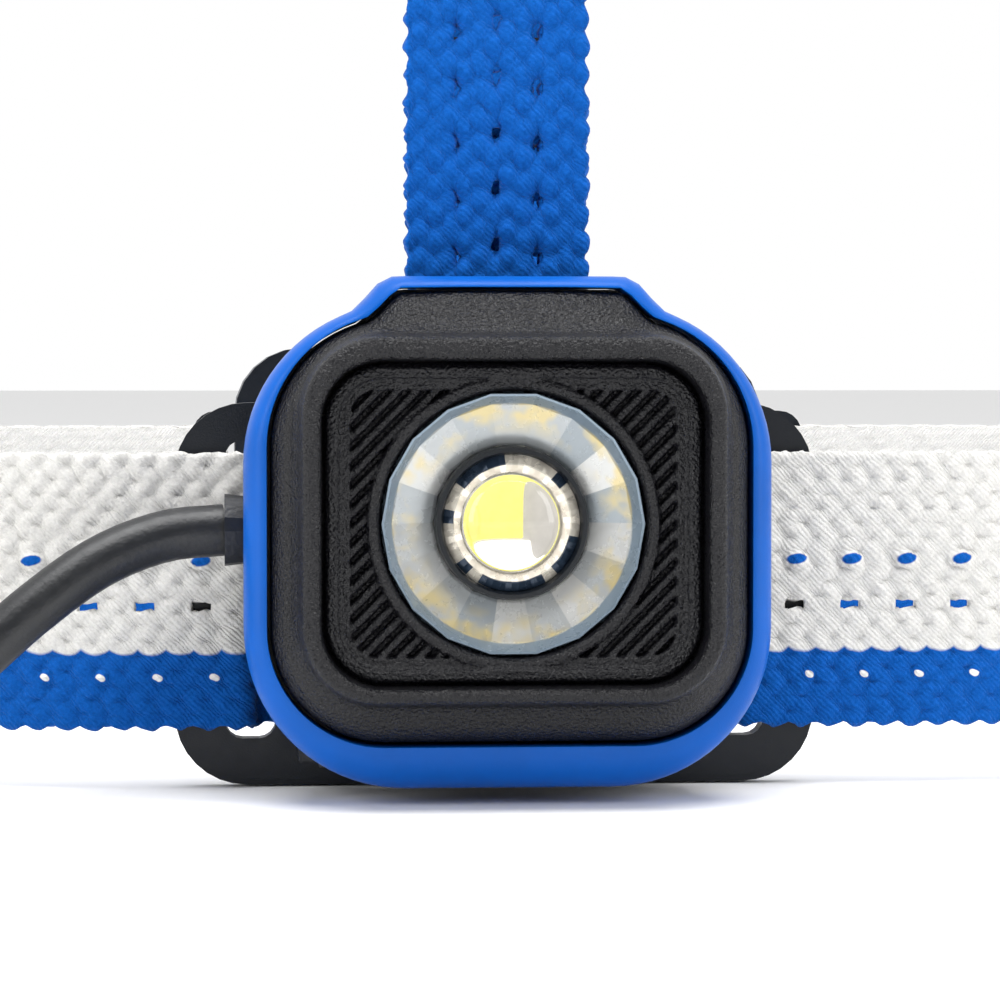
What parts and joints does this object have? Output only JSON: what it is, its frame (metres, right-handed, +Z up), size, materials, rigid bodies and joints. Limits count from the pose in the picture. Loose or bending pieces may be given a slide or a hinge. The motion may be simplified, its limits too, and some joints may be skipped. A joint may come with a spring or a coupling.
{
  "type": "headlamp",
  "caption": "Running headlamp: a tilting front lamp on a forehead bracket, elastic head band with a crown strap, and a rear battery pack with tail light, joined by a lead",
  "frame": {"origin": "middle of the flat lower edge of the forehead bracket, on the surface that the headlamp stands on", "axes": "+Z up, the lamp shines along -Y, +Y runs from the forehead to the back of the head, +X is the right of the lamp seen from the front"},
  "size_m": [0.1907, 0.2146, 0.1307],
  "materials": {
    "blue_plastic": "satin",
    "black_plastic": "fine sand grain",
    "dark_plastic": "satin",
    "grey_plastic": "fine sand grain",
    "rubber": "satin",
    "blue_webbing": "knitted elastic",
    "white_webbing": "knitted elastic",
    "foam": "soft foam",
    "clear_optic": "polished",
    "mirror_optic": "faceted",
    "emitter": "phosphor",
    "green_board": "solder mask",
    "white_board": "solder mask",
    "aluminium": "milled",
    "steel": "plated",
    "red_optic": "polished"
  },
  "bodies": {
    "harness": {"battery_cell": "blue_plastic", "bracket": "dark_plastic", "charge_board": "green_board", "charge_socket": "steel", "crown_strap": "blue_webbing", "forehead_pad": "foam", "front_lead_clip": "dark_plastic", "head_strap": "white_webbing", "lead": "rubber", "pack_gland": "rubber", "pack_plate": "dark_plastic", "pack_screw_1": "steel", "pack_screw_2": "steel", "pack_screw_3": "steel", "pack_screw_4": "steel", "pack_shell": "grey_plastic", "pack_switch": "dark_plastic", "rear_lead_clip": "dark_plastic", "rear_pad": "foam", "tail_leds": "white_board", "tail_lens": "red_optic", "tilt_pin": "steel"},
    "lamp": {"lamp_housing": "black_plastic", "bezel_ring": "blue_plastic", "front_cover": "black_plastic", "lens_panel": "black_plastic", "reflector": "mirror_optic", "collimator": "clear_optic", "led_emitter": "emitter", "led_board": "white_board", "heat_sink": "aluminium", "driver_board": "green_board", "lamp_switch": "dark_plastic", "lamp_gland": "rubber"},
    "power_button": {"power_button": "dark_plastic"},
    "pack_button": {"pack_button": "rubber"},
    "port_flap": {"port_flap": "rubber"},
    "left_slider": {"left_adjuster": "dark_plastic", "left_sewn_end": "white_webbing"},
    "right_slider": {"right_adjuster": "dark_plastic", "right_sewn_end": "white_webbing"},
    "crown_slider": {"crown_adjuster": "dark_plastic", "crown_sewn_end": "blue_webbing"}
  },
  "joints": [
    {"name": "lamp_tilt", "type": "hinge", "parent": "harness", "child": "lamp", "pos_m": [0, -0.0058, 0.0056], "axis": [1, 0, 0], "range_deg": [0, 50]},
    {"name": "power_button_press", "type": "slide", "parent": "lamp", "child": "power_button", "axis": [0, 0, -1], "range_m": [0, 0.0009], "stiffness_N_per_m": 400, "springref_m": -0.0004},
    {"name": "pack_button_press", "type": "slide", "parent": "harness", "child": "pack_button", "axis": [0, 0, -1], "range_m": [0, 0.0008], "stiffness_N_per_m": 400, "springref_m": -0.0004},
    {"name": "port_flap_open", "type": "hinge", "parent": "harness", "child": "port_flap", "pos_m": [0.04885, 0.1804, 0.027], "axis": [0, 0, 1], "range_deg": [0, 100]},
    {"name": "left_adjuster_slide", "type": "slide", "parent": "harness", "child": "left_slider", "axis": [-0.0765, -0.9971, 0], "range_m": [0, 0.016]},
    {"name": "right_adjuster_slide", "type": "slide", "parent": "harness", "child": "right_slider", "axis": [-0.0765, -0.9971, 0], "range_m": [0, 0.016]},
    {"name": "crown_adjuster_slide", "type": "slide", "parent": "harness", "child": "crown_slider", "axis": [0, 0, 1], "range_m": [0, 0.01]}
  ]
}
